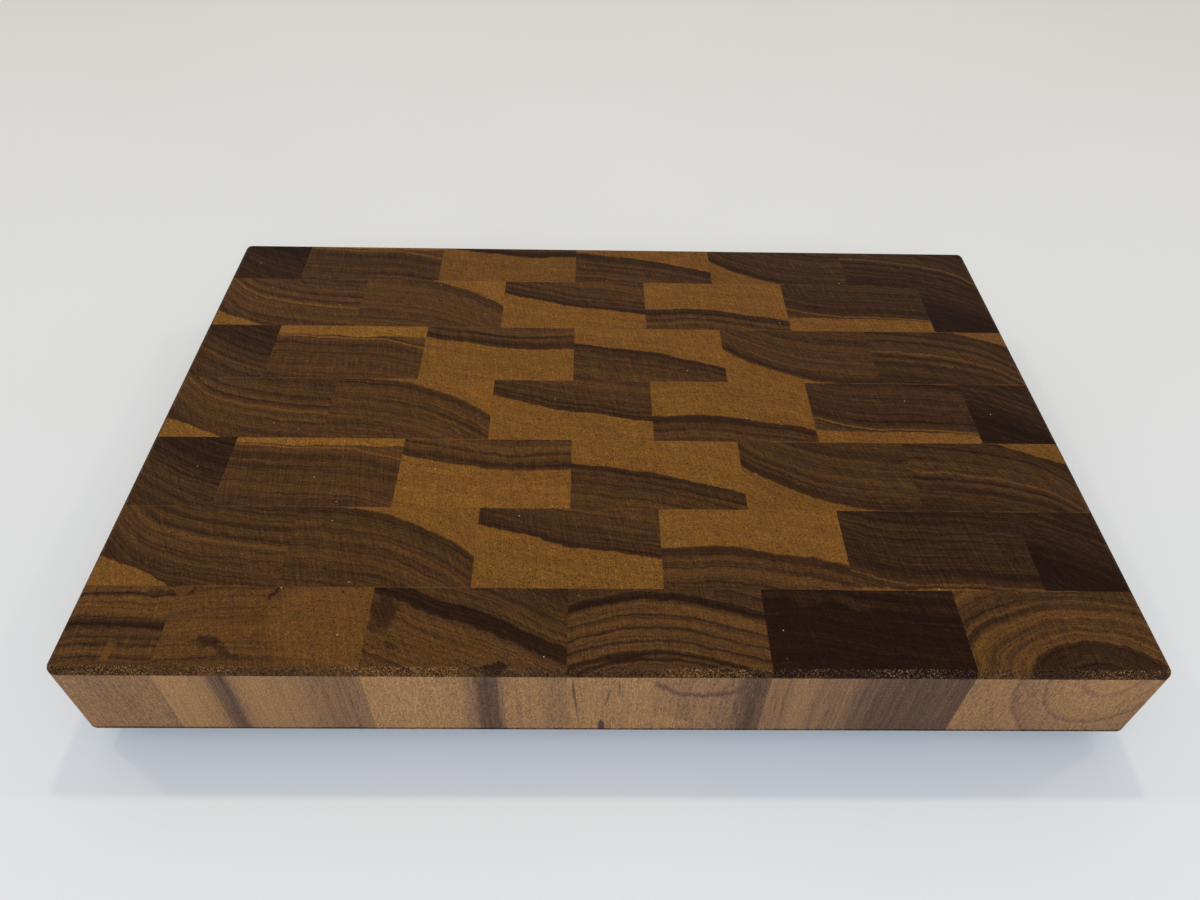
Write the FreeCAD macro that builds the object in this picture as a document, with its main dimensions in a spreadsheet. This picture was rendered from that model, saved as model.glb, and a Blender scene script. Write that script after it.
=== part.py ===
import FreeCAD, Part
import Sketcher
import os

# End-grain cutting board on four screwed rubber feet, in millimetres.
#
# The board is made as the real one is: rough blocks are glued into staggered rows, then the
# glued slab is trimmed to size, its corners and edges are rounded, and the foot screws are
# drilled. Every block is therefore its rough cell cut by the one finished board.
#
# Frame: origin on the surface that the feet stand on, under the middle of the board.
# +X runs along the length, +Y from the front to the back, +Z up.

ROWS = 7
COLUMNS = 6

DIMENSIONS = [
    # the finished board
    ("board_length", 457.2, "finished size along X, 18 in"),
    ("board_width", 304.8, "finished size along Y, 12 in"),
    ("board_thickness", 50.8, "finished size along Z, 2 in"),
    ("corner_radius", 4.0, "upright corners, lightly rounded"),
    ("top_roundover", 3.2, "round along the upper edges"),
    ("bottom_roundover", 3.2, "round along the lower edges"),
    # the block layout: the inner blocks and rows share what the outer ones leave
    ("front_row_width", 41.0, "front row after trimming"),
    ("back_row_width", 37.3, "back row after trimming"),
    ("odd_row_first_block", 41.9, "left end block of rows 1, 3, 5 and 7"),
    ("odd_row_last_block", 81.0, "right end block of rows 1, 3, 5 and 7"),
    ("even_row_first_block", 83.1, "left end block of rows 2, 4 and 6"),
    ("even_row_last_block", 39.3, "right end block of rows 2, 4 and 6"),
    ("trim_allowance", 3.0, "extra wood on the rough slab, all round"),
    # the rubber feet
    ("foot_inset", 25.0, "from the board's sides to a foot's axis"),
    ("foot_height", 10.0, "board's underside above the surface"),
    ("foot_top_diameter", 25.4, "against the board"),
    ("foot_floor_diameter", 20.0, "on the surface"),
    ("foot_floor_round", 1.0, "round on the foot's lower outer edge"),
    ("recess_depth", 5.5, "screw recess in the foot, from below"),
    # the washers and screws
    ("washer_diameter", 10.0, "outside"),
    ("washer_thickness", 1.2, "along Z"),
    ("washer_clearance", 0.3, "washer to recess wall, on the radius"),
    ("screw_clearance", 0.2, "shank to washer and foot bores, on the radius"),
    ("shank_diameter", 4.0, "screw shank, a close fit in its pilot hole"),
    ("pilot_clearance", 0.05, "shank to pilot hole, on the radius"),
    ("screw_length", 22.0, "from under the head to the point"),
    ("point_length", 5.0, "tapered end of the screw"),
    ("tip_gap", 1.5, "left below the screw's point in its pilot hole"),
    ("head_diameter", 8.0, "pan head"),
    ("head_height", 2.8, "pan head"),
    ("head_round", 1.9, "round of the pan head's outer edge"),
    ("driver_span", 4.4, "tip to tip of the cross recess"),
    ("driver_width", 1.1, "width of each arm of the cross recess"),
    ("driver_depth", 1.7, "depth of the cross recess"),
]

# Sizes that follow from the sheet, as expressions.
HALF_LENGTH = "sizes.board_length / 2"
HALF_WIDTH = "sizes.board_width / 2"
INNER_ROW = "(sizes.board_width - sizes.front_row_width - sizes.back_row_width) / %d" % (ROWS - 2)
FOOT_X = "(sizes.board_length / 2 - sizes.foot_inset)"
FOOT_Y = "(sizes.board_width / 2 - sizes.foot_inset)"
FOOT_BORE = "(sizes.shank_diameter / 2 + sizes.screw_clearance)"
RECESS_RADIUS = "(sizes.washer_diameter / 2 + sizes.washer_clearance)"
HEAD_SEAT = "(sizes.recess_depth - sizes.washer_thickness)"
PILOT_RADIUS = "(sizes.shank_diameter / 2 + sizes.pilot_clearance)"
PILOT_DEPTH = "(sizes.screw_length - sizes.foot_height + %s + sizes.tip_gap)" % HEAD_SEAT

NEAR = 1e-6

doc = FreeCAD.newDocument("cutting_board")
sub_parts = []


def fill_sheet():
    """Put every driving dimension in the sheet: its value, and its meaning beside it."""
    sheet = doc.addObject("Spreadsheet::Sheet", "sizes")
    for line, (alias, value, meaning) in enumerate(DIMENSIONS, start=1):
        sheet.set("A%d" % line, str(value))
        sheet.setAlias("A%d" % line, alias)
        sheet.set("B%d" % line, meaning)
    doc.recompute()
    return sheet


sheet = fill_sheet()


def number(expression):
    """The present value of an expression, in millimetres."""
    return float(sheet.evalExpression(expression))


def new_sketch(body, name, plane, height=None):
    """A sketch on one of the body's own planes, lifted off it by an expression if one is given."""
    sketch = body.newObject("Sketcher::SketchObject", name)
    origin_plane = [item for item in body.Origin.OriginFeatures if item.Role == plane][0]
    sketch.AttachmentSupport = [(origin_plane, "")]
    sketch.MapMode = "FlatFace"
    if height:
        sketch.setExpression("AttachmentOffset.Base.z", height)
    return sketch


def place_point(sketch, geometry, point, across, up):
    """Tie a point of a sketch to two expressions, its coordinates in the sketch."""
    for kind, axis, expression in (("DistanceX", -2, across), ("DistanceY", -1, up)):
        value = number(expression)
        if abs(value) < NEAR:
            sketch.addConstraint(Sketcher.Constraint("PointOnObject", geometry, point, axis))
            continue
        if value > 0:
            tie = Sketcher.Constraint(kind, -1, 1, geometry, point, value)
            index = sketch.addConstraint(tie)
            sketch.setExpression("Constraints[%d]" % index, expression)
        else:
            tie = Sketcher.Constraint(kind, geometry, point, -1, 1, -value)
            index = sketch.addConstraint(tie)
            sketch.setExpression("Constraints[%d]" % index, "-(%s)" % expression)


def draw_polygon(sketch, corners):
    """A closed outline whose corners are pairs of expressions."""
    points = [FreeCAD.Vector(number(across), number(up), 0) for across, up in corners]
    for start, end in zip(points, points[1:] + points[:1]):
        sketch.addGeometry(Part.LineSegment(start, end), False)
    for line in range(len(corners)):
        following = (line + 1) % len(corners)
        sketch.addConstraint(Sketcher.Constraint("Coincident", line, 2, following, 1))
    for line, (across, up) in enumerate(corners):
        place_point(sketch, line, 1, across, up)


def revolve(name, corners):
    """A body turned about Z from an outline of (radius, height) expressions."""
    body = doc.addObject("PartDesign::Body", name)
    sketch = new_sketch(body, name + "_section", "XZ_Plane")
    draw_polygon(sketch, corners)
    turned = body.newObject("PartDesign::Revolution", name + "_turned")
    turned.Profile = sketch
    turned.ReferenceAxis = (sketch, ["V_Axis"])
    turned.Angle = 360
    doc.recompute()
    return body


def round_edges(body, name, wanted, radius):
    """Fillet the edges of the body's last feature that the test accepts."""
    base = body.Tip
    numbered = enumerate(base.Shape.Edges, start=1)
    edges = ["Edge%d" % index for index, edge in numbered if wanted(edge)]
    fillet = body.newObject("PartDesign::Fillet", name)
    fillet.Base = (base, edges)
    fillet.setExpression("Radius", radius)
    doc.recompute()


def cut_pocket(body, name, sketch, depth):
    """Cut upwards from the sketch, and make sure that wood or metal really went."""
    before = body.Shape.Volume
    pocket = body.newObject("PartDesign::Pocket", name)
    pocket.Profile = sketch
    pocket.setExpression("Length", depth)
    pocket.Reversed = True
    doc.recompute()
    if body.Shape.Volume > before - NEAR:
        raise RuntimeError(name + " cuts nothing")


def flat_at(height):
    """A test for edges that lie at one height."""
    return lambda edge: all(abs(vertex.Z - height) < NEAR for vertex in edge.Vertexes)


def upright(edge):
    """True for an edge that runs along Z."""
    box = edge.BoundBox
    return box.ZLength > NEAR and box.XLength < NEAR and box.YLength < NEAR


def corner_signs():
    """Name and X, Y side of each corner of the board."""
    for y_name, y_side in (("front", -1), ("back", 1)):
        for x_name, x_side in (("left", -1), ("right", 1)):
            yield y_name + "_" + x_name, x_side, y_side


def make_finished_board():
    """The glued slab after trimming, rounding and drilling. Every block is cut by it."""
    body = doc.addObject("PartDesign::Body", "finished_board")
    outline = new_sketch(body, "board_outline", "XY_Plane", "sizes.foot_height")
    draw_polygon(outline, [
        ("-" + HALF_LENGTH, "-" + HALF_WIDTH),
        (HALF_LENGTH, "-" + HALF_WIDTH),
        (HALF_LENGTH, HALF_WIDTH),
        ("-" + HALF_LENGTH, HALF_WIDTH),
    ])
    slab = body.newObject("PartDesign::Pad", "board_slab")
    slab.Profile = outline
    slab.setExpression("Length", "sizes.board_thickness")
    doc.recompute()

    underside = number("sizes.foot_height")
    work_face = number("sizes.foot_height + sizes.board_thickness")
    round_edges(body, "board_corners", upright, "sizes.corner_radius")
    round_edges(body, "board_top_round", flat_at(work_face), "sizes.top_roundover")
    round_edges(body, "board_bottom_round", flat_at(underside), "sizes.bottom_roundover")

    drilling = new_sketch(body, "pilot_centres", "XY_Plane", "sizes.foot_height")
    for hole, (corner, x_side, y_side) in enumerate(corner_signs()):
        centre = FreeCAD.Vector(x_side * number(FOOT_X), y_side * number(FOOT_Y), 0)
        circle = Part.Circle(centre, FreeCAD.Vector(0, 0, 1), number(PILOT_RADIUS))
        drilling.addGeometry(circle, False)
        place_point(drilling, hole, 3, "%d * %s" % (x_side, FOOT_X), "%d * %s" % (y_side, FOOT_Y))
        index = drilling.addConstraint(Sketcher.Constraint("Radius", hole, number(PILOT_RADIUS)))
        drilling.setExpression("Constraints[%d]" % index, PILOT_RADIUS)
    cut_pocket(body, "pilot_holes", drilling, PILOT_DEPTH)
    return body


def row_edges(row):
    """Front and back of a row's rough cells, as expressions. Row 1 is the front row."""
    inner_front = "-%s + sizes.front_row_width + %d * %s" % (HALF_WIDTH, row - 2, INNER_ROW)
    inner_back = "-%s + sizes.front_row_width + %d * %s" % (HALF_WIDTH, row - 1, INNER_ROW)
    front = "-%s - sizes.trim_allowance" % HALF_WIDTH if row == 1 else inner_front
    back = "%s + sizes.trim_allowance" % HALF_WIDTH if row == ROWS else inner_back
    return front, back


def column_edges(row, column):
    """Left and right of a rough cell, as expressions. Column 1 is the left end."""
    kind = "odd" if row % 2 else "even"
    first = "sizes.%s_row_first_block" % kind
    last = "sizes.%s_row_last_block" % kind
    inner = "(sizes.board_length - %s - %s) / %d" % (first, last, COLUMNS - 2)
    left = "-%s + %s + %d * %s" % (HALF_LENGTH, first, column - 2, inner)
    right = "-%s + %s + %d * %s" % (HALF_LENGTH, first, column - 1, inner)
    if column == 1:
        left = "-%s - sizes.trim_allowance" % HALF_LENGTH
    if column == COLUMNS:
        right = "%s + sizes.trim_allowance" % HALF_LENGTH
    return left, right


def make_block(row, column, finished_board):
    """One walnut block: its rough cell, cut by the finished board."""
    name = "row%d_block%d" % (row, column)
    front, back = row_edges(row)
    left, right = column_edges(row, column)
    cell = doc.addObject("Part::Box", name + "_rough")
    cell.setExpression("Length", "(%s) - (%s)" % (right, left))
    cell.setExpression("Width", "(%s) - (%s)" % (back, front))
    cell.setExpression("Height", "sizes.board_thickness + 2 * sizes.trim_allowance")
    cell.setExpression("Placement.Base.x", left)
    cell.setExpression("Placement.Base.y", front)
    cell.setExpression("Placement.Base.z", "sizes.foot_height - sizes.trim_allowance")
    block = doc.addObject("Part::Common", name)
    block.Base = cell
    block.Tool = finished_board
    block.Label = name
    sub_parts.append(block)


def place_under_corner(body, x_side, y_side, height="0"):
    """Put a body on the screw axis of one corner, at a height given as an expression."""
    body.setExpression("Placement.Base.x", "%d * %s" % (x_side, FOOT_X))
    body.setExpression("Placement.Base.y", "%d * %s" % (y_side, FOOT_Y))
    body.setExpression("Placement.Base.z", height)


def make_foot(corner, x_side, y_side):
    """A tapered rubber foot with a recess below and a bore for the screw."""
    foot = revolve("foot_" + corner, [
        (FOOT_BORE, "sizes.foot_height"),
        (FOOT_BORE, "sizes.recess_depth"),
        (RECESS_RADIUS, "sizes.recess_depth"),
        (RECESS_RADIUS, "0"),
        ("sizes.foot_floor_diameter / 2", "0"),
        ("sizes.foot_top_diameter / 2", "sizes.foot_height"),
    ])
    floor_radius = number("sizes.foot_floor_diameter / 2")

    def outer_floor_edge(edge):
        return flat_at(0)(edge) and abs(edge.BoundBox.XLength / 2 - floor_radius) < NEAR

    round_edges(foot, foot.Name + "_round", outer_floor_edge, "sizes.foot_floor_round")
    place_under_corner(foot, x_side, y_side)
    sub_parts.append(foot)


def make_washer(corner, x_side, y_side):
    """A flat steel washer on the floor of the foot's recess, under the screw's head."""
    washer = revolve("washer_" + corner, [
        (FOOT_BORE, "0"),
        ("sizes.washer_diameter / 2", "0"),
        ("sizes.washer_diameter / 2", "sizes.washer_thickness"),
        (FOOT_BORE, "sizes.washer_thickness"),
    ])
    place_under_corner(washer, x_side, y_side, HEAD_SEAT)
    sub_parts.append(washer)


def cross_corners():
    """Outline of the cross recess, four arms about the screw's axis."""
    far = "sizes.driver_span / 2"
    near = "sizes.driver_width / 2"
    minus_far = "-" + far
    minus_near = "-" + near
    return [
        (far, minus_near), (far, near), (near, near),
        (near, far), (minus_near, far), (minus_near, near),
        (minus_far, near), (minus_far, minus_near), (minus_near, minus_near),
        (minus_near, minus_far), (near, minus_far), (near, minus_near),
    ]


def make_screw(corner, x_side, y_side):
    """A pan-head wood screw, head down. Local zero is the bearing face under its head."""
    screw = revolve("screw_" + corner, [
        ("0", "sizes.screw_length"),
        ("0", "-sizes.head_height"),
        ("sizes.head_diameter / 2", "-sizes.head_height"),
        ("sizes.head_diameter / 2", "0"),
        ("sizes.shank_diameter / 2", "0"),
        ("sizes.shank_diameter / 2", "sizes.screw_length - sizes.point_length"),
    ])
    head_end = number("-sizes.head_height")
    round_edges(screw, screw.Name + "_pan", flat_at(head_end), "sizes.head_round")
    cross = new_sketch(screw, screw.Name + "_cross", "XY_Plane", "-sizes.head_height")
    draw_polygon(cross, cross_corners())
    cut_pocket(screw, screw.Name + "_driver", cross, "sizes.driver_depth")
    place_under_corner(screw, x_side, y_side, HEAD_SEAT)
    sub_parts.append(screw)


def check_document(finished_board):
    """Stop if anything failed to build, or if the blocks don't fill the board."""
    for item in doc.Objects:
        if "Invalid" in item.State or "Error" in item.State:
            raise RuntimeError("%s failed: %s" % (item.Name, item.State))
    for item in sub_parts:
        if item.Shape.isNull() or not item.Shape.isValid() or len(item.Shape.Solids) != 1:
            raise RuntimeError("%s is not one valid solid" % item.Label)
    wood = sum(item.Shape.Volume for item in sub_parts if item.TypeId == "Part::Common")
    if abs(wood - finished_board.Shape.Volume) > NEAR * wood:
        raise RuntimeError("the blocks leave a gap in the board or overlap")


def write_parts():
    """One STEP file for each sub-part, named after it."""
    os.makedirs("parts", exist_ok=True)
    for item in sub_parts:
        item.Shape.exportStep("parts/%s.step" % item.Label)
        print("%-18s %10.1f mm3" % (item.Label, item.Shape.Volume))


finished_board = make_finished_board()
for row in range(1, ROWS + 1):
    for column in range(1, COLUMNS + 1):
        make_block(row, column, finished_board)
for corner, x_side, y_side in corner_signs():
    make_foot(corner, x_side, y_side)
    make_washer(corner, x_side, y_side)
    make_screw(corner, x_side, y_side)
doc.recompute()
check_document(finished_board)
write_parts()
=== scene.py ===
import math

import bpy
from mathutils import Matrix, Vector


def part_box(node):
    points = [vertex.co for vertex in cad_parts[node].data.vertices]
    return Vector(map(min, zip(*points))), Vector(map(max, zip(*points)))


# Looks of the end-grain walnut board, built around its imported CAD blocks.
# Lengths in the wood's node trees are millimetres, everything else is in metres.

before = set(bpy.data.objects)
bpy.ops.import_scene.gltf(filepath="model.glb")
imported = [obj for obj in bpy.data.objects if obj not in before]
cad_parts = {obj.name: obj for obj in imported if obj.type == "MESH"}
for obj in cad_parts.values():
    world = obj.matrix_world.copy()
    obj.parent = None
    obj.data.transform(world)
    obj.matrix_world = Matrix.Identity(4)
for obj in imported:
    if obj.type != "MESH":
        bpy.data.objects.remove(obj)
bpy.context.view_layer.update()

ROWS = 7
COLUMNS = 6
MM = 1000.0
FREE = 9000.0          # where a block has no neighbour, its seam is put this far off
EDGE_BAND = 3.9        # the darker wood of the rounded edges ends this far down the sides
FACE_RING_HEIGHT = 0.66  # how much the rings on the front face are stretched in height, as a factor on depth
OILED_GLOSS = 0.06     # specular level of the oiled wood, which is nearly matt

block_low, block_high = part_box("row2_block2")
CELL_LENGTH = (block_high.x - block_low.x) * MM
CELL_WIDTH = (block_high.y - block_low.y) * MM
BOARD_TOP = block_high.z * MM
BOARD_BOTTOM = block_low.z * MM
BOARD_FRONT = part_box("row1_block2")[0].y * MM
FRONT_ROW_MIDDLE = (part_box("row1_block2")[0].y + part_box("row1_block2")[1].y) / 2 * MM

# Wood colours from pale sapwood to the darkest heartwood, as written in sRGB.
TOP_COLOURS = [
    (0.00, (126, 86, 35)),
    (0.12, (114, 76, 30)),
    (0.33, (93, 60, 25)),
    (0.50, (77, 51, 27)),
    (0.65, (58, 37, 19)),
    (0.80, (43, 24, 11)),
    (1.00, (25, 8, 2)),
]
SIDE_COLOURS = [
    (0.00, (172, 131, 82)),
    (0.12, (164, 121, 77)),
    (0.33, (148, 108, 71)),
    (0.50, (132, 97, 68)),
    (0.65, (112, 81, 60)),
    (0.80, (92, 66, 50)),
    (1.00, (76, 53, 42)),
]

# The figure of each strip that the rows are sawn from. u runs along the block and v across it,
# from the middle of a full cell. "rings" is the run of the growth rings as (u, v) points, and
# "marks" gives the tone at distances above that line. "sap" is the edge of the pale sapwood,
# on the side that "sap_side" says: 1 above the line, -1 below it.
STRIPS = {
    "a": {
        "rings": [(-43, 29), (-33, 17.5), (-21, 8), (-11, 4), (4, 0), (19, -2.5), (34, -4.2), (43, -5)],
        "marks": [
            (-26, 0.66), (-22, 0.52), (-17, 0.60), (-14, 0.47), (-9, 0.55), (-6, 0.44), (-1.5, 0.50),
            (0, 0.26), (1.5, 0.45), (4, 0.68), (6, 0.46), (9, 0.50), (11, 0.70), (13, 0.47), (20, 0.58),
            (30, 0.64),
        ],
        "sap": [(-43, -7.5), (-31, -12.2), (-21, -16.3), (-11, -21), (0, -28), (43, -40)],
        "sap_side": -1,
        "ring_gap": 4.3,
        "lean": 0.45,
    },
    "b": {
        "rings": [(-43, 24), (-26, 22.8), (-15, 21.4), (-2, 18.8), (7, 15.8), (15, 12), (25, 6.6), (35, 0),
                  (43, -6.8)],
        "marks": [
            (-46, 0.50), (-34, 0.58), (-30, 0.46), (-22, 0.54), (-18, 0.46), (-13, 0.56), (-10, 0.47),
            (-4, 0.62), (-1, 0.66), (1, 0.30), (3, 0.20),
        ],
        "sap": [(-43, 24.4), (-26, 23.2), (-15, 21.8), (-2, 19.2), (7, 16.2), (15, 12.4), (25, 7), (35, 0.4),
                (43, -6.4)],
        "sap_side": 1,
        "ring_gap": 5.2,
        "lean": 0.35,
    },
    "c": {
        "rings": [(-43, 11.3), (-30, 7), (-20, 4), (-10, 0.6), (0, -2), (10, -3.4), (20, -5), (30, -6.8),
                  (43, -8.8)],
        "marks": [
            (-2, 0.40), (0.6, 0.66), (2.6, 0.70), (4.2, 0.56), (6.5, 0.66), (8.5, 0.50), (11.5, 0.62),
            (14, 0.50), (18, 0.56), (22, 0.44), (30, 0.56),
        ],
        "sap": [(-43, 11.3), (-30, 7), (-20, 4), (-10, 0.6), (0, -2), (10, -3.4), (20, -5), (30, -6.8),
                (43, -8.8)],
        "sap_side": -1,
        "ring_gap": 4.6,
        "lean": 0.2,
    },
    "d": {
        "rings": [(-43, -4.6), (-29, -4.2), (-18, -3.4), (-6, -4.2), (6, -6.4), (17, -8.6), (27, -10.2),
                  (43, -14.4)],
        "marks": [
            (-19, 0.58), (-15, 0.42), (-12, 0.40), (-9.6, 0.66), (-8, 0.46), (-5.5, 0.52), (-3.4, 0.70),
            (-0.6, 0.66), (1, 0.40),
        ],
        "sap": [(-43, -4.2), (-29, -3.8), (-18, -2.8), (-6, -3.8), (6, -6), (17, -8.2), (27, -9.8),
                (43, -14)],
        "sap_side": 1,
        "ring_gap": 4.2,
        "lean": 0.15,
    },
    "e": {
        "rings": [(-43, -4.2), (-34, -7.6), (-24, -10.6), (-14, -12.2), (0, -12.6), (16, -13.2), (26, -14.2),
                  (43, -15.6)],
        "marks": [
            (-4, 0.50), (-1.2, 0.62), (0, 0.16), (1.1, 0.56), (6, 0.70), (10, 0.58), (15, 0.66), (19, 0.56),
            (24, 0.64), (28, 0.54), (34, 0.66),
        ],
        "sap": [(-43, -14.6), (-30, -14.4), (-18, -14.6), (-6, -14.2), (8, -14.6), (20, -15.2), (43, -16.8)],
        "sap_side": -1,
        "ring_gap": 5.4,
        "lean": 0.15,
    },
    "f": {
        "rings": [(-43, 9), (-34, 6), (-24, 1.5), (-14, -4), (-4, -10), (10, -20), (43, -40)],
        "marks": [
            (-30, 0.80), (-20, 0.84), (-12, 0.86), (-9, 0.74), (-6, 0.82), (-3, 0.68), (0, 0.76), (2, 0.60),
            (4, 0.72), (7, 0.58), (9, 0.70), (12, 0.60), (14, 0.72), (18, 0.60), (22, 0.70), (30, 0.66),
        ],
        "sap": [(-43, -60), (43, -60)],
        "sap_side": -1,
        "ring_gap": 4.6,
        "lean": 0.5,
    },
}

# The front row comes from another panel. Here v is measured from the middle of the front row.
# "spots" are knots and flecks: (u, v, half length, half width, turn in degrees, tone).
# "face" is the tone along u on the board's front, where the blocks show their long grain.
FRONT_BLOCKS = [
    {
        "rings": [(-43, -1), (-20, -0.6), (-8, 0.4), (2, 0.2), (12, -0.6), (43, -1)],
        "marks": [
            (-20, 0.60), (-17, 0.46), (-15, 0.56), (-12, 0.42), (-9.8, 0.46), (-8.6, 0.74), (-7.4, 0.46),
            (-5, 0.58), (-3, 0.48), (-0.8, 0.56), (0.6, 0.90), (2.6, 0.72), (4.4, 0.60), (6, 0.40), (9, 0.32),
            (11, 0.40), (13, 0.32), (15.4, 0.44), (16.4, 0.86), (17.6, 0.44), (20, 0.42),
        ],
        "spots": [(14, 17, 6, 1.6, 0, 0.72), (2, -12, 5, 2, 80, 0.34)],
        "face": [(-20, 0.42), (-8, 0.48), (4, 0.52), (12, 0.50), (19.5, 0.47)],
        "ring_gap": 5.0,
        "lean": 0.1,
    },
    {
        "rings": [(-43, -2), (-26, 0), (-8, 1.2), (10, 0.6), (28, -2), (43, -5)],
        "marks": [(-20, 0.42), (-10, 0.36), (0, 0.33), (9, 0.36), (14, 0.32), (20, 0.40)],
        "spots": [
            (-22, -7, 6, 2.6, -12, 0.74), (-13, -12, 7, 1.8, -28, 0.62), (-35.5, 18.5, 3, 0.9, 80, 0.70),
            (-1.5, 16, 4, 0.9, 68, 0.76), (15.5, 10, 1.2, 1.0, 0, 0.64), (-4, 20, 30, 1.4, 0, 0.52),
            (26, 4, 26, 26, 0, 0.27),
        ],
        "face": [
            (-42, 0.16), (-34, 0.18), (-25, 0.26), (-22, 0.40), (-18, 0.62), (-15, 0.76), (-12.5, 0.60),
            (-10, 0.34), (-6, 0.27), (4, 0.28), (14, 0.34), (22, 0.48), (34, 0.50), (42, 0.44),
        ],
        "ring_gap": 6.5,
        "lean": 0.3,
    },
    {
        "rings": [(-43, 23), (-33, 19), (-18, 12), (2, 5), (17, -1), (32, -9), (43, -14)],
        "marks": [
            (-30, 0.36), (-14, 0.33), (-7, 0.36), (-5, 0.44), (-3.8, 0.72), (0, 0.76), (3.6, 0.70), (5, 0.44),
            (8, 0.38), (9.6, 0.54), (11.4, 0.40), (14, 0.44), (16, 0.58), (18, 0.44), (24, 0.54), (30, 0.60),
        ],
        "spots": [(-36, 8, 6, 9, 0, 0.66), (-30, -9, 5, 1.2, -25, 0.58), (13, -18, 6, 2.2, 10, 0.74)],
        "face": [
            (-42, 0.12), (-20, 0.11), (-10, 0.14), (-2, 0.26), (3, 0.44), (6, 0.66), (9, 0.74), (13, 0.60),
            (16, 0.28), (24, 0.20), (32, 0.24), (37, 0.40), (42, 0.34),
        ],
        "ring_gap": 5.0,
        "lean": 0.5,
    },
    {
        "rings": [(-43, -8.4), (-30, -3.6), (-18, -0.8), (-8, 0), (5, -0.8), (18, -3.6), (30, -7.2),
                  (43, -11)],
        "marks": [
            (-24, 0.42), (-15.6, 0.40), (-14.2, 0.74), (-13, 0.38), (-11, 0.66), (-9.8, 0.36), (-6.2, 0.33),
            (-5, 0.62), (-4, 0.34), (-0.4, 0.32), (0.9, 0.62), (2, 0.30), (6, 0.28), (7.2, 0.64), (8.4, 0.32),
            (12.4, 0.26), (14.4, 0.42), (15.4, 0.70), (18.4, 0.68), (19.6, 0.44), (24, 0.52), (30, 0.44),
        ],
        "spots": [(-18, -14, 9, 1.6, 6, 0.78)],
        "face": [
            (-42, 0.20), (-34, 0.17), (-20, 0.19), (-12, 0.13), (-4, 0.22), (4, 0.30), (8, 0.40), (12, 0.30),
            (20, 0.36), (28, 0.42), (33, 0.62), (37, 0.72), (42, 0.58),
        ],
        "face_spots": [
            (-27, 45, 5, 1.6, 85, 0.85), (-38.5, 20, 16, 0.6, 86, 0.62), (-24.7, 20, 7, 0.5, 100, 0.60),
            (-20, 12, 6, 0.5, 88, 0.55), (2, 41, 9, 5, 20, 0.10),
        ],
        "face_arc": (15, 4, 20, 14, 0.62),
        "ring_gap": 6.2,
        "lean": 0.1,
    },
    {
        "rings": [(-43, 4), (-30, 6), (-10, 3), (10, -1), (30, -3), (43, -4)],
        "marks": [
            (-24, 0.90), (-14, 0.97), (-8, 0.88), (-2, 0.98), (4, 0.90), (9, 1.0), (13, 0.82), (16, 0.94),
            (20, 0.84),
        ],
        "spots": [(-2, 13, 9, 3, -28, 0.74), (-22, 16, 8, 4, 0, 0.82)],
        "face": [
            (-42, 0.50), (-34, 0.52), (-30, 0.36), (-26, 0.40), (-20, 0.52), (-8, 0.52), (-2, 0.66),
            (6, 0.76), (20, 0.82), (30, 0.78), (42, 0.80),
        ],
        "ring_gap": 4.6,
        "lean": 0.2,
    },
    {
        "eye": (10, -22.2, 0.6),
        "marks": [
            (0, 0.70), (15, 0.72), (16.6, 0.76), (17.6, 0.38), (21.5, 0.36), (23.5, 0.58), (25, 0.36),
            (27.5, 0.56), (29, 0.34), (32.5, 0.40), (34.5, 0.66), (36.5, 0.42), (39, 0.60), (45, 0.56),
            (48, 0.36), (50.5, 0.50), (52, 0.26), (60, 0.30),
        ],
        "spots": [],
        "face": [
            (0, 0.16), (10.6, 0.26), (12, 0.50), (13.5, 0.32), (25, 0.36), (27.4, 0.62), (28.8, 0.36),
            (36, 0.52), (39, 0.64), (40.8, 0.32), (50, 0.40), (64, 0.34),
        ],
        "face_eye": (16.5, 1.5),
        "ring_gap": 5.0,
        "lean": 0.0,
    },
]

# Which strip each block of a row is sawn from. The odd rows are turned end for end.
EVEN_ROW = "abcdef"
ODD_ROW = "fedcba"

# How far each row's figure has drifted along the tree, in millimetres, by strip.
DRIFT = {
    2: {"a": 2.6, "b": -0.4, "c": 2.4, "d": 4.2, "e": -7.0, "f": 0.0},
    3: {"a": 1.2, "b": -0.4, "c": 1.6, "d": 2.0, "e": -3.0, "f": 0.6},
    4: {"a": 0.0, "b": 0.0, "c": 0.0, "d": 0.0, "e": 0.0, "f": 1.0},
    5: {"a": -0.6, "b": 0.6, "c": 0.0, "d": 0.0, "e": 1.2, "f": 1.6},
    6: {"a": -1.0, "b": 3.2, "c": -0.2, "d": 0.4, "e": 3.4, "f": 2.2},
    7: {"a": -1.4, "b": 3.6, "c": -0.4, "d": 0.2, "e": 4.4, "f": 2.6},
}

# How much darker (above 0) or lighter than its figure a block is: the front row from left to right,
# then the other rows by strip.
FRONT_SHADE = [-0.02, 0.04, 0.09, 0.11, 0.0, 0.0]
SHADE = {
    2: {"a": 0.01, "b": 0.0, "c": 0.02, "d": 0.0, "e": 0.09, "f": 0.10},
    3: {"a": 0.08, "b": 0.05, "c": 0.0, "d": -0.04, "e": -0.10, "f": -0.06},
    4: {"a": -0.02, "b": -0.04, "c": 0.0, "d": 0.03, "e": 0.02, "f": 0.07},
    5: {"a": 0.08, "b": 0.02, "c": 0.0, "d": 0.0, "e": -0.10, "f": -0.10},
    6: {"a": -0.04, "b": -0.06, "c": 0.0, "d": 0.0, "e": 0.04, "f": 0.08},
    7: {"a": 0.16, "b": 0.10, "c": 0.04, "d": 0.10, "e": -0.04, "f": 0.05},
}


def srgb(colour):
    """A linear RGBA colour from 0-255 sRGB numbers."""
    linear = []
    for value in colour:
        value /= 255
        linear.append(value / 12.92 if value <= 0.04045 else ((value + 0.055) / 1.055) ** 2.4)
    return (*linear, 1.0)


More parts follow.
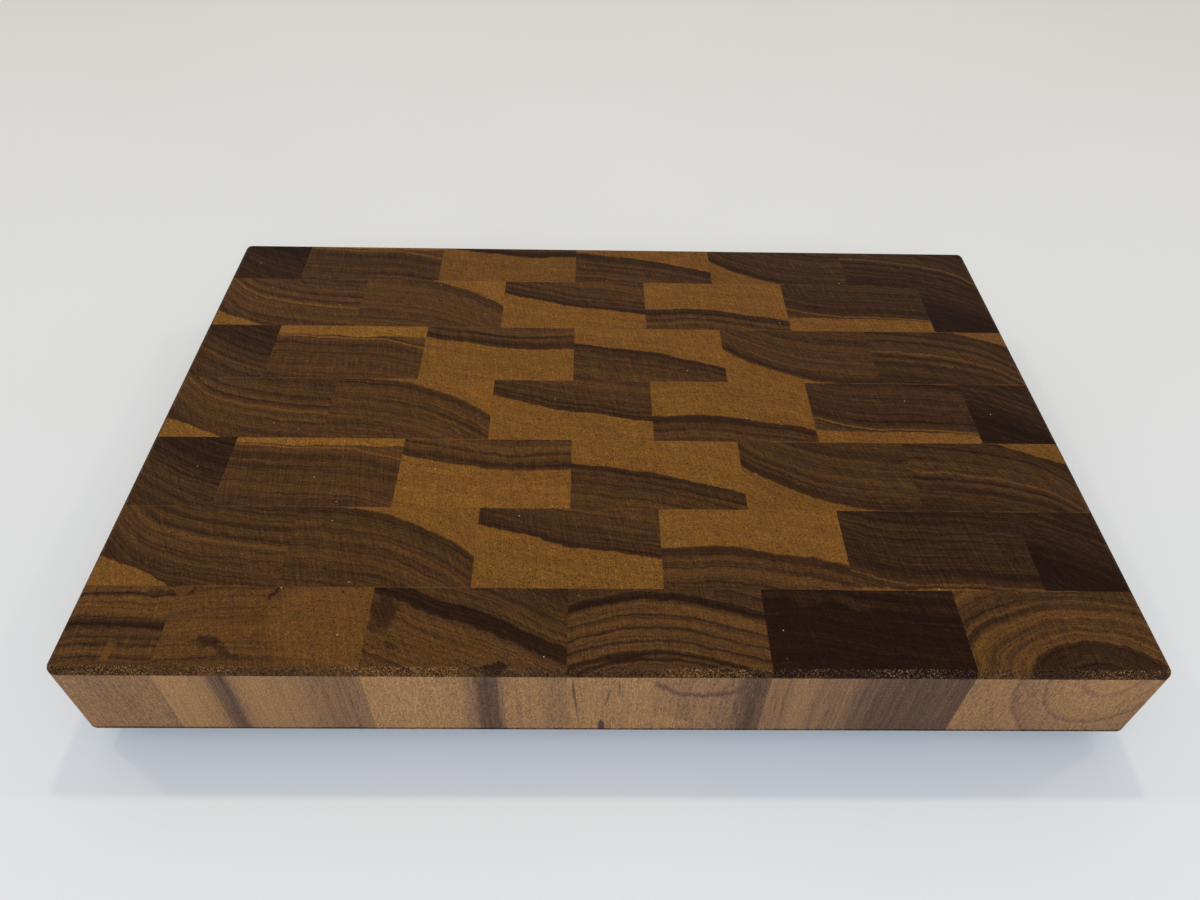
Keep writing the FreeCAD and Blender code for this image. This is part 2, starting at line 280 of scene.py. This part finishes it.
# What every figure group takes and gives. Front-row figures have no use for the drift.
FIGURE_INPUTS = ["Block X", "Block Y", "Turn", "Drift", "Seed"]
FIGURE_OUTPUTS = {"Tone": "NodeSocketFloat", "Ring": "NodeSocketFloat", "Along": "NodeSocketFloat"}


class Nodes:
    """Short calls that add and link the nodes of one tree."""

    def __init__(self, tree):
        self.tree = tree

    def add(self, kind, **settings):
        node = self.tree.nodes.new(kind)
        for name, value in settings.items():
            setattr(node, name, value)
        return node

    def feed(self, socket, value):
        if isinstance(value, bpy.types.NodeSocket):
            self.tree.links.new(value, socket)
        else:
            socket.default_value = value

    def math(self, operation, *values):
        node = self.add("ShaderNodeMath", operation=operation)
        for socket, value in zip(node.inputs, values):
            self.feed(socket, value)
        return node.outputs[0]

    def plus(self, first, second):
        return self.math("ADD", first, second)

    def minus(self, first, second):
        return self.math("SUBTRACT", first, second)

    def times(self, first, second):
        return self.math("MULTIPLY", first, second)

    def step(self, value, low, high, to_low=0.0, to_high=1.0):
        """Smooth change from to_low to to_high as the value goes from low to high."""
        node = self.add("ShaderNodeMapRange", interpolation_type="SMOOTHSTEP", clamp=True)
        for socket, number in zip(node.inputs, (value, low, high, to_low, to_high)):
            self.feed(socket, number)
        return node.outputs[0]

    def blend(self, factor, first, second):
        """Plain mix of two numbers."""
        node = self.add("ShaderNodeMix", data_type="FLOAT")
        for socket, value in zip((node.inputs[0], node.inputs[2], node.inputs[3]), (factor, first, second)):
            self.feed(socket, value)
        return node.outputs[0]

    def mix(self, factor, first, second, mode="MIX"):
        """Mix of two colours."""
        node = self.add("ShaderNodeMix", data_type="RGBA", blend_type=mode)
        for socket, value in zip((node.inputs[0], node.inputs[6], node.inputs[7]), (factor, first, second)):
            self.feed(socket, value)
        return node.outputs[2]

    def vector(self, x, y, z):
        node = self.add("ShaderNodeCombineXYZ")
        for socket, value in zip(node.inputs, (x, y, z)):
            self.feed(socket, value)
        return node.outputs[0]

    def stretched(self, x, x_scale, y, y_scale, z=0.0):
        """A vector whose first two parts are scaled numbers."""
        return self.vector(self.times(x, x_scale), self.times(y, y_scale), z)

    def parts(self, vector):
        node = self.add("ShaderNodeSeparateXYZ")
        self.feed(node.inputs[0], vector)
        return node.outputs

    def noise(self, vector, scale, detail=2.0, roughness=0.5):
        node = self.add("ShaderNodeTexNoise")
        self.feed(node.inputs["Vector"], vector)
        node.inputs["Scale"].default_value = scale
        node.inputs["Detail"].default_value = detail
        node.inputs["Roughness"].default_value = roughness
        return node.outputs["Fac"]

    def dots(self, vector, scale, dimensions="3D"):
        """Distance to the nearest of many scattered points, and a random number for each."""
        node = self.add("ShaderNodeTexVoronoi", voronoi_dimensions=dimensions)
        self.feed(node.inputs["Vector"], vector)
        node.inputs["Scale"].default_value = scale
        return node.outputs["Distance"], self.parts(node.outputs["Color"])[0]

    def ramp(self, factor, stops):
        """Colour ramp whose stops are (position from 0 to 1, RGBA)."""
        node = self.add("ShaderNodeValToRGB")
        self.feed(node.inputs[0], factor)
        elements = node.color_ramp.elements
        while len(elements) < len(stops):
            elements.new(0.5)
        for element, (position, colour) in zip(elements, stops):
            element.position = position
            element.color = colour
        return node.outputs[0]

    def tones(self, value, stops):
        """Tone against a length: stops are (length, tone)."""
        low = stops[0][0]
        span = stops[-1][0] - low
        factor = self.times(self.minus(value, low), 1 / span)
        shades = [((length - low) / span, (tone, tone, tone, 1)) for length, tone in stops]
        return self.parts(self.ramp(factor, shades))[0]

    def line(self, value, points):
        """Smooth line through (u, v) points, as v against u."""
        low, high = points[0][0], points[-1][0]
        levels = [v for _, v in points]
        floor = min(levels)
        height = max(levels) - floor or 1.0
        node = self.add("ShaderNodeFloatCurve")
        self.feed(node.inputs["Value"], self.times(self.minus(value, low), 1 / (high - low)))
        curve = node.mapping.curves[0]
        while len(curve.points) < len(points):
            curve.points.new(0.5, 0.5)
        for point, (u, v) in zip(curve.points, points):
            point.location = ((u - low) / (high - low), (v - floor) / height)
        node.mapping.update()
        return self.plus(self.times(node.outputs[0], height), floor)

    def place(self):
        """Position on the object in millimetres."""
        node = self.add("ShaderNodeVectorMath", operation="SCALE")
        self.feed(node.inputs[0], self.add("ShaderNodeTexCoord").outputs["Object"])
        node.inputs["Scale"].default_value = MM
        return node.outputs[0]


def new_group(name, inputs, outputs):
    """An empty node group with number inputs, and its Nodes, inputs and output node."""
    tree = bpy.data.node_groups.new(name, "ShaderNodeTree")
    for label in inputs:
        tree.interface.new_socket(label, in_out="INPUT", socket_type="NodeSocketFloat")
    for label, kind in outputs.items():
        tree.interface.new_socket(label, in_out="OUTPUT", socket_type=kind)
    nodes = Nodes(tree)
    return tree, nodes, nodes.add("NodeGroupInput").outputs, nodes.add("NodeGroupOutput").inputs


def add_growth_rings(nodes, tone, ring, along, seed, gap):
    """Darken the tone along thin late-wood lines at uneven gaps, some bold and some faint."""
    warp = nodes.noise(nodes.vector(nodes.times(ring, 0.09), seed, 0.0), 1.0, 2.0)
    place = nodes.plus(nodes.times(ring, 1 / gap), nodes.times(warp, 3.2))
    phase = nodes.math("FRACT", place)
    late = nodes.math("POWER", phase, 4.0)
    other_seed = nodes.plus(seed, 7.7)
    bold_place = nodes.vector(nodes.times(ring, 0.11), other_seed, nodes.times(along, 0.012))
    bold = nodes.noise(bold_place, 1.0, 1.0)
    strength = nodes.step(bold, 0.36, 0.68, 0.02, 0.24)
    tone = nodes.plus(tone, nodes.times(late, strength))
    thin = nodes.math("POWER", nodes.math("FRACT", nodes.times(place, 2.3)), 3.0)
    tone = nodes.plus(tone, nodes.times(thin, nodes.step(bold, 0.35, 0.6, 0.15, 0.04)))
    fine = nodes.noise(nodes.vector(nodes.times(ring, 0.75), seed, nodes.times(along, 0.02)), 1.0, 3.0, 0.6)
    return nodes.plus(tone, nodes.times(nodes.minus(fine, 0.5), 0.36))


def add_spots(nodes, tone, u, v, spots):
    """Blend soft oval knots and flecks into the tone."""
    for spot_u, spot_v, half_length, half_width, turn, spot_tone in spots:
        turn = math.radians(turn)
        du = nodes.minus(u, spot_u)
        dv = nodes.minus(v, spot_v)
        cosine = math.cos(turn)
        sine = math.sin(turn)
        along = nodes.plus(nodes.times(du, cosine / half_length), nodes.times(dv, sine / half_length))
        across = nodes.minus(nodes.times(dv, cosine / half_width), nodes.times(du, sine / half_width))
        distance = nodes.plus(nodes.times(along, along), nodes.times(across, across))
        tone = nodes.blend(nodes.step(distance, 0.35, 1.4, 0.9, 0.0), tone, spot_tone)
    return tone


def add_arc(nodes, tone, u, v, arc):
    """Blend the lower half of a soft dark oval line into the tone."""
    arc_u, arc_v, half_length, half_width, arc_tone = arc
    du = nodes.times(nodes.minus(u, arc_u), 1 / half_length)
    dv = nodes.times(nodes.minus(v, arc_v), 1 / half_width)
    distance = nodes.math("SQRT", nodes.plus(nodes.times(du, du), nodes.times(dv, dv)))
    line = nodes.step(nodes.math("ABSOLUTE", nodes.minus(distance, 1)), 0.03, 0.20, 0.9, 0.0)
    return nodes.blend(nodes.times(line, nodes.step(dv, 0.0, 0.5)), tone, arc_tone)


def wavy_place(nodes, block_x, block_y, turn, seed):
    """u and v of a block in millimetres, with the small wander of real fibres, and the height z."""
    place = nodes.place()
    x, y, z = nodes.parts(place)
    u = nodes.times(nodes.minus(x, block_x), turn)
    v = nodes.times(nodes.minus(y, block_y), turn)
    lift = nodes.times(nodes.minus(z, BOARD_TOP), 0.05)
    level = nodes.plus(lift, seed)
    slow = nodes.noise(nodes.stretched(u, 0.06, v, 0.06, level), 1.0, 2.0)
    quick = nodes.noise(nodes.stretched(u, 0.24, v, 0.24, level), 1.0, 3.0)
    wander = nodes.plus(nodes.times(nodes.minus(slow, 0.5), 3.4), nodes.times(nodes.minus(quick, 0.5), 2.2))
    return u, v, z, wander


def strip_group(name, figure):
    """Node group of one strip's figure: the tone of the wood and its ring coordinates."""
    group, nodes, given, result = new_group(
        "figure_" + name,
        FIGURE_INPUTS,
        FIGURE_OUTPUTS,
    )
    block_x, block_y, turn, drift, seed = given[:5]
    u, v, _, wander = wavy_place(nodes, block_x, block_y, turn, seed)
    v = nodes.plus(nodes.minus(v, drift), wander)
    ring = nodes.minus(v, nodes.line(u, figure["rings"]))
    along = nodes.plus(u, nodes.times(v, figure["lean"]))
    heart = nodes.tones(ring, figure["marks"])
    heart = add_growth_rings(nodes, heart, ring, along, seed, figure["ring_gap"])
    cloud = nodes.noise(nodes.stretched(u, 0.035, ring, 0.12, seed), 1.0, 2.0)
    sap_fine = nodes.noise(nodes.stretched(u, 0.02, ring, 0.42, seed), 1.0, 3.0, 0.65)
    sap = nodes.plus(-0.09, nodes.plus(nodes.times(cloud, 0.18), nodes.times(sap_fine, 0.34)))
    edge = nodes.times(nodes.minus(v, nodes.line(u, figure["sap"])), figure["sap_side"])
    tone = nodes.blend(nodes.step(edge, -0.5, 0.5), heart, sap)
    nodes.feed(result[0], tone)
    nodes.feed(result[1], ring)
    nodes.feed(result[2], along)
    return group


def front_group(name, figure):
    """Node group of one front-row block, with its own figure on the board's front."""
    group, nodes, given, result = new_group(
        "figure_" + name,
        FIGURE_INPUTS,
        FIGURE_OUTPUTS,
    )
    block_x, block_y, turn, _, seed = given[:5]
    u, v, z, wander = wavy_place(nodes, block_x, block_y, turn, seed)
    depth = nodes.minus(BOARD_TOP, z)
    ragged_u = nodes.minus(nodes.noise(nodes.vector(u, v, seed), 0.30, 3.0, 0.6), 0.5)
    ragged_v = nodes.minus(nodes.noise(nodes.vector(v, u, seed), 0.30, 3.0, 0.6), 0.5)
    if "eye" in figure:
        eye_u, eye_v, flatness = figure["eye"]
        arm = nodes.vector(nodes.times(nodes.minus(u, eye_u), flatness), nodes.minus(v, eye_v), 0.0)
        length = nodes.add("ShaderNodeVectorMath", operation="LENGTH")
        nodes.feed(length.inputs[0], arm)
        ring = nodes.plus(length.outputs["Value"], wander)
        face_u, face_rise = figure["face_eye"]
        low_arm = nodes.times(nodes.plus(depth, face_rise), FACE_RING_HEIGHT)
        side = nodes.minus(u, face_u)
        squared = nodes.plus(nodes.times(side, side), nodes.times(low_arm, low_arm))
        face_at = nodes.plus(nodes.math("SQRT", squared), wander)
    else:
        ring = nodes.minus(nodes.plus(v, wander), nodes.line(u, figure["rings"]))
        face_at = nodes.plus(u, nodes.times(wander, 0.7))
    along = nodes.plus(u, nodes.times(v, figure["lean"]))
    top = nodes.tones(ring, figure["marks"])
    top = add_growth_rings(nodes, top, ring, along, seed, figure["ring_gap"])
    spot_u = nodes.plus(u, nodes.times(ragged_u, 9.0))
    spot_v = nodes.plus(v, nodes.times(ragged_v, 6.0))
    top = add_spots(nodes, top, spot_u, spot_v, figure["spots"])
    face = nodes.tones(face_at, figure["face"])
    streak_place = nodes.vector(nodes.times(face_at, 0.45), seed, nodes.times(depth, 0.006))
    streak = nodes.noise(streak_place, 1.0, 3.0, 0.6)
    face = nodes.plus(face, nodes.times(nodes.minus(streak, 0.5), 0.34))
    face = add_spots(nodes, face, u, nodes.plus(depth, wander), figure.get("face_spots", []))
    if "face_arc" in figure:
        arc_depth = nodes.plus(depth, nodes.times(ragged_v, 5.0))
        face = add_arc(nodes, face, nodes.plus(u, wander), arc_depth, figure["face_arc"])
    # the long grain shows below the rounded edge, on the front only
    y = nodes.plus(nodes.times(v, turn), block_y)
    on_front = nodes.step(nodes.minus(y, BOARD_FRONT), 0.5, 5.0, 1.0, 0.0)
    on_face = nodes.times(on_front, nodes.step(depth, EDGE_BAND - 0.2, EDGE_BAND + 0.1))
    nodes.feed(result[0], nodes.blend(on_face, top, face))
    nodes.feed(result[1], ring)
    nodes.feed(result[2], along)
    return group


def surface_group():
    """Node group that turns a tone into oiled walnut: end grain on top and below, long grain on the sides."""
    group, nodes, given, result = new_group(
        "walnut_surface",
        ["Tone", "Ring", "Along", "Shade", "Front seam", "Back seam", "Seed"],
        {"Color": "NodeSocketColor", "Roughness": "NodeSocketFloat", "Height": "NodeSocketFloat"},
    )
    tone, ring, along, shade, front_seam, back_seam, seed = given[:7]
    tone = nodes.plus(tone, shade)
    place = nodes.place()
    x, y, z = nodes.parts(place)

    # how far below the top or above the underside: the two end-grain faces and their rounded edges
    from_top = nodes.minus(BOARD_TOP, z)
    from_bottom = nodes.minus(z, BOARD_BOTTOM)
    depth = nodes.math("MINIMUM", from_top, from_bottom)
    ragged = nodes.times(nodes.minus(nodes.noise(place, 0.9, 2.0), 0.5), 0.5)
    above_band_end = nodes.step(depth, EDGE_BAND - 0.05, EDGE_BAND + 0.15, 1.0, 0.0)
    rounded = nodes.times(nodes.step(depth, 0.02, 0.22), above_band_end)
    on_side = nodes.step(nodes.plus(depth, nodes.times(ragged, 0.3)), EDGE_BAND - 0.05, EDGE_BAND + 0.12)

    # pores run along the fibres: dots on the end grain, dashes on the long grain
    fibre = nodes.vector(nodes.plus(x, seed), y, nodes.times(z, 0.055))
    pore_distance, pore_kind = nodes.dots(fibre, 1.15)
    pores = nodes.times(nodes.step(pore_distance, 0.16, 0.34, 1.0, 0.0), nodes.step(pore_kind, 0.25, 0.5))
    dash_distance, dash_kind = nodes.dots(nodes.vector(x, nodes.plus(y, seed), nodes.times(z, 0.09)), 1.5)
    dashes = nodes.times(nodes.step(dash_distance, 0.1, 0.32, 1.0, 0.0), nodes.step(dash_kind, 0.55, 0.75))

    # rays cross the rings as fine lines on the end grain
    rays = nodes.noise(nodes.vector(nodes.times(along, 1.35), nodes.times(ring, 0.07), seed), 1.0, 2.0, 0.6)
    weave = nodes.noise(nodes.vector(nodes.times(along, 0.16), nodes.times(ring, 1.2), seed), 1.0, 2.0, 0.6)
    grit = nodes.noise(fibre, 1.6, 2.0, 0.8)
    ray_shade = nodes.times(nodes.minus(rays, 0.5), 0.42)
    end_grain = nodes.plus(ray_shade, nodes.times(nodes.minus(weave, 0.5), 0.32))
    end_grain = nodes.plus(end_grain, nodes.times(nodes.minus(grit, 0.5), 1.1))
    end_tone = nodes.plus(tone, nodes.plus(end_grain, nodes.times(pores, 0.10)))

    # torn fibres on the rounded edges are darker, with pale dry specks
    torn = nodes.noise(nodes.vector(x, nodes.plus(y, seed), z), 1.5, 3.0, 0.75)
    speck = nodes.step(torn, 0.47, 0.60)
    worn = nodes.step(nodes.noise(place, 0.035, 1.0), 0.35, 0.6, 0.25, 1.0)
    edge_tone = nodes.plus(nodes.times(tone, 0.75), 0.27)
    edge_tone = nodes.plus(edge_tone, nodes.times(nodes.times(speck, worn), -0.55))

    # streaks of the long grain
    streaks = nodes.noise(nodes.stretched(x, 0.9, y, 0.9, nodes.times(z, 0.02)), 1.0, 4.0, 0.65)
    side_tone = nodes.plus(tone, nodes.times(nodes.minus(streaks, 0.5), 0.40))
    side_tone = nodes.plus(side_tone, nodes.times(nodes.minus(grit, 0.5), 0.30))
    side_tone = nodes.plus(side_tone, nodes.minus(nodes.times(pores, 0.16), nodes.times(dashes, 0.20)))

    # a pale hairline of glue shows here and there along the row seams
    seam = nodes.math("MINIMUM", nodes.minus(y, front_seam), nodes.minus(back_seam, y))
    shown = nodes.step(nodes.noise(nodes.stretched(x, 0.03, y, 0.03), 1.0, 2.0), 0.42, 0.6)
    hairline = nodes.times(nodes.step(seam, 0.12, 0.34, 1.0, 0.0), shown)
    end_tone = nodes.blend(nodes.times(hairline, 0.6), end_tone, 0.1)

    top_tone = nodes.blend(rounded, end_tone, edge_tone)
    top_colour = nodes.ramp(top_tone, [(stop, srgb(colour)) for stop, colour in TOP_COLOURS])
    side_colour = nodes.ramp(side_tone, [(stop, srgb(colour)) for stop, colour in SIDE_COLOURS])

    # the end grain wanders between olive and reddish brown
    hue = nodes.noise(nodes.vector(nodes.times(along, 0.018), nodes.times(ring, 0.10), seed), 1.0, 2.0)
    olive = nodes.mix(1.0, top_colour, (1.10, 1.06, 0.83, 1), "MULTIPLY")
    reddish = nodes.mix(1.0, top_colour, (1.14, 1.04, 0.95, 1), "MULTIPLY")
    top_colour = nodes.mix(nodes.step(hue, 0.35, 0.65), olive, reddish)
    colour = nodes.mix(on_side, top_colour, side_colour)

    # painted glint: the light that the cut fibres catch unevenly is painted into the colour as lighter and
    # darker specks
    cell_distance, cell_kind = nodes.dots(fibre, 0.85)
    sparkle = nodes.times(nodes.step(cell_distance, 0.18, 0.45, 1.0, 0.0), nodes.minus(cell_kind, 0.45))
    glint_fleck = nodes.noise(nodes.vector(x, nodes.plus(y, seed), nodes.times(z, 0.35)), 1.9, 2.0, 0.7)
    end_glint = nodes.plus(nodes.times(nodes.minus(grit, 0.5), 4.2), nodes.times(sparkle, 1.3))
    grit_glint = nodes.times(nodes.minus(grit, 0.5), 0.7)
    side_glint = nodes.plus(grit_glint, nodes.times(nodes.minus(glint_fleck, 0.5), 2.2))
    glint = nodes.plus(1.0, nodes.blend(on_side, end_glint, side_glint))
    colour = nodes.mix(1.0, colour, nodes.vector(glint, glint, glint), "MULTIPLY")

    # pale dry fibre ends along the rounded edges, and a few specks of dust
    dry = nodes.times(nodes.times(nodes.step(torn, 0.56, 0.66), worn), nodes.times(rounded, 0.75))
    colour = nodes.mix(dry, colour, srgb((150, 126, 96)))
    dust_distance, dust_kind = nodes.dots(place, 0.07, "2D")
    dust = nodes.times(nodes.step(dust_distance, 0.010, 0.028, 1.0, 0.0), nodes.step(dust_kind, 0.93, 0.95))
    dust = nodes.times(dust, nodes.step(depth, 0.0, 0.5, 1.0, 0.0))
    colour = nodes.mix(nodes.times(dust, 0.7), colour, srgb((196, 186, 168)))

    roughness = nodes.plus(0.46, nodes.times(pores, 0.16))
    roughness = nodes.plus(roughness, nodes.times(nodes.minus(grit, 0.5), 0.2))
    roughness = nodes.plus(roughness, nodes.times(nodes.math("MAXIMUM", rounded, on_side), 0.14))
    height = nodes.minus(nodes.times(grit, 0.4), nodes.times(pores, 0.6))
    height = nodes.minus(height, nodes.times(nodes.times(torn, rounded), 0.9))
    height = nodes.minus(height, nodes.times(nodes.step(seam, 0.0, 0.2, 1.0, 0.0), 0.5))
    nodes.feed(result[0], colour)
    nodes.feed(result[1], roughness)
    nodes.feed(result[2], height)
    return group


def new_material(name):
    """A material with a Principled shader, and its Nodes."""
    material = bpy.data.materials.new(name)
    material.use_nodes = True
    nodes = Nodes(material.node_tree)
    return material, nodes, material.node_tree.nodes["Principled BSDF"]


def add_bump(nodes, shader, height, strength, distance):
    bump = nodes.add("ShaderNodeBump")
    bump.inputs["Strength"].default_value = strength
    bump.inputs["Distance"].default_value = distance
    nodes.feed(bump.inputs["Height"], height)
    nodes.feed(shader.inputs["Normal"], bump.outputs[0])


def use_group(nodes, group, values):
    """Add a node group to a tree, with its inputs in order."""
    node = nodes.add("ShaderNodeGroup", node_tree=group)
    for socket, value in zip(node.inputs, values):
        nodes.feed(socket, value)
    return node.outputs


def cell_middle(row, column):
    """Middle of the full cell a block was sawn from, in millimetres. An end block keeps its inner seam."""
    low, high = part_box("row%d_block%d" % (row, column))
    x = (low.x + high.x) / 2 * MM
    y = (low.y + high.y) / 2 * MM
    if row == 1:
        return x, FRONT_ROW_MIDDLE
    if column == 1:
        x = high.x * MM - CELL_LENGTH / 2
    if column == COLUMNS:
        x = low.x * MM + CELL_LENGTH / 2
    if row == ROWS:
        y = low.y * MM + CELL_WIDTH / 2
    return x, y


def dress_block(row, column, figure, surface, turn, drift, shade):
    """Give one block its own walnut."""
    name = "row%d_block%d" % (row, column)
    low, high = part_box(name)
    x, y = cell_middle(row, column)
    seed = row * 3.1 + column * 0.7
    front_seam = -FREE if row == 1 else low.y * MM
    back_seam = FREE if row == ROWS else high.y * MM
    material, nodes, shader = new_material("walnut_" + name)
    tone, ring, along = use_group(nodes, figure, (x, y, turn, drift, seed))
    colour, roughness, height = use_group(
        nodes, surface, (tone, ring, along, shade, front_seam, back_seam, seed)
    )
    nodes.feed(shader.inputs["Base Color"], colour)
    nodes.feed(shader.inputs["Roughness"], roughness)
    shader.inputs["Specular IOR Level"].default_value = OILED_GLOSS
    add_bump(nodes, shader, height, 0.35, 0.00025)
    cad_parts[name].material_slots[0].material = material


def dress_board():
    """Walnut on all the blocks."""
    surface = surface_group()
    strips = {name: strip_group(name, figure) for name, figure in STRIPS.items()}
    for column, (figure, shade) in enumerate(zip(FRONT_BLOCKS, FRONT_SHADE), start=1):
        group = front_group("front_%d" % column, figure)
        dress_block(1, column, group, surface, 1, 0.0, shade)
    for row in range(2, ROWS + 1):
        even = row % 2 == 0
        turn = 1 if even else -1
        for column, strip in enumerate(EVEN_ROW if even else ODD_ROW, start=1):
            dress_block(row, column, strips[strip], surface, turn, DRIFT[row][strip], SHADE[row][strip])


def rubber():
    """Moulded black rubber, a little dusty."""
    material, nodes, shader = new_material("foot_rubber")
    place = nodes.place()
    mottle = nodes.noise(place, 0.35, 3.0)
    grain = nodes.noise(place, 3.0, 2.0)
    dark = nodes.mix(mottle, srgb((26, 25, 24)), srgb((44, 42, 40)))
    dusty = nodes.mix(nodes.step(grain, 0.62, 0.75, 0.0, 0.3), dark, srgb((92, 88, 82)))
    nodes.feed(shader.inputs["Base Color"], dusty)
    nodes.feed(shader.inputs["Roughness"], nodes.step(mottle, 0.3, 0.7, 0.62, 0.8))
    add_bump(nodes, shader, grain, 0.3, 0.0002)
    return material


def steel(name, centre, roughness):
    """Turned stainless steel with fine rings about the screw's axis."""
    material, nodes, shader = new_material(name)
    x, y, z = nodes.parts(nodes.place())
    arm = nodes.vector(nodes.minus(x, centre.x * MM), nodes.minus(y, centre.y * MM), 0.0)
    length = nodes.add("ShaderNodeVectorMath", operation="LENGTH")
    nodes.feed(length.inputs[0], arm)
    turned = nodes.noise(nodes.stretched(length.outputs["Value"], 4.0, z, 3.0), 1.0, 3.0)
    stain = nodes.noise(nodes.vector(x, y, z), 0.5, 2.0)
    nodes.feed(shader.inputs["Base Color"], nodes.mix(stain, srgb((176, 174, 170)), srgb((205, 204, 202))))
    nodes.feed(shader.inputs["Roughness"], nodes.step(turned, 0.3, 0.7, roughness - 0.06, roughness + 0.08))
    shader.inputs["Metallic"].default_value = 1.0
    add_bump(nodes, shader, turned, 0.25, 0.0001)
    return material


def dress_feet():
    """Rubber and steel on the feet, their washers and screws."""
    foot_rubber = rubber()
    for corner in ("front_left", "front_right", "back_left", "back_right"):
        low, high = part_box("screw_" + corner)
        axis = (low + high) / 2
        finishes = {
            "foot_": foot_rubber,
            "washer_": steel("washer_steel_" + corner, axis, 0.34),
            "screw_": steel("screw_steel_" + corner, axis, 0.24),
        }
        for piece, material in finishes.items():
            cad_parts[piece + corner].material_slots[0].material = material


def make_table():
    """The pale table that the board stands on."""
    half = 40.0  # metres, so its edge is out of sight
    mesh = bpy.data.meshes.new("table")
    corners = [(-half, -half, 0), (half, -half, 0), (half, half, 0), (-half, half, 0)]
    mesh.from_pydata(corners, [], [(0, 1, 2, 3)])
    table = bpy.data.objects.new("table", mesh)
    bpy.context.scene.collection.objects.link(table)
    material, nodes, shader = new_material("pale_table")
    cloud = nodes.noise(nodes.place(), 0.004, 2.0)
    nodes.feed(shader.inputs["Base Color"], nodes.mix(cloud, srgb((226, 225, 221)), srgb((232, 231, 228))))
    shader.inputs["Roughness"].default_value = 0.6
    mesh.materials.append(material)


def make_lights():
    """A row of three warm ceiling lamps behind the board, a cool window in front, and an even sky."""
    lamp_height = 1.68
    lamp_behind = 0.55
    for name, across in (("lamp_left", -1.24), ("lamp_middle", 0.11), ("lamp_right", 1.59)):
        light = bpy.data.lights.new(name, "AREA")
        light.shape = "DISK"
        light.size = 0.12
        light.energy = 4.0
        light.color = (1.0, 0.84, 0.60)
        lamp = bpy.data.objects.new(name, light)
        lamp.location = (across, lamp_behind, lamp_height)
        bpy.context.scene.collection.objects.link(lamp)
    light = bpy.data.lights.new("window", "AREA")
    light.shape = "RECTANGLE"
    light.size = 2.0
    light.size_y = 1.0
    light.energy = 21.0
    light.color = (0.60, 0.76, 1.0)
    window = bpy.data.objects.new("window", light)
    window.location = (0.0, -1.3, 1.3)
    window.rotation_euler = (math.radians(42), 0, 0)
    bpy.context.scene.collection.objects.link(window)
    world = bpy.data.worlds.new("sky")
    world.use_nodes = True
    background = world.node_tree.nodes["Background"]
    background.inputs["Color"].default_value = (0.98, 0.98, 0.97, 1)
    background.inputs["Strength"].default_value = 0.55
    bpy.context.scene.world = world


def make_camera():
    """A phone held over the front of the board."""
    camera_data = bpy.data.cameras.new("camera")
    camera_data.sensor_width = 36.0
    camera_data.lens = 26.84
    camera_data.clip_start = 0.01
    camera = bpy.data.objects.new("camera", camera_data)
    camera.location = (-0.0130, -0.3390, 0.3807)
    camera.rotation_euler = [math.radians(angle) for angle in (44.23, -1.05, -0.32)]
    bpy.context.scene.collection.objects.link(camera)
    bpy.context.scene.camera = camera


make_camera()
make_lights()
make_table()
dress_board()
dress_feet()
bpy.context.scene.view_settings.view_transform = "Standard"
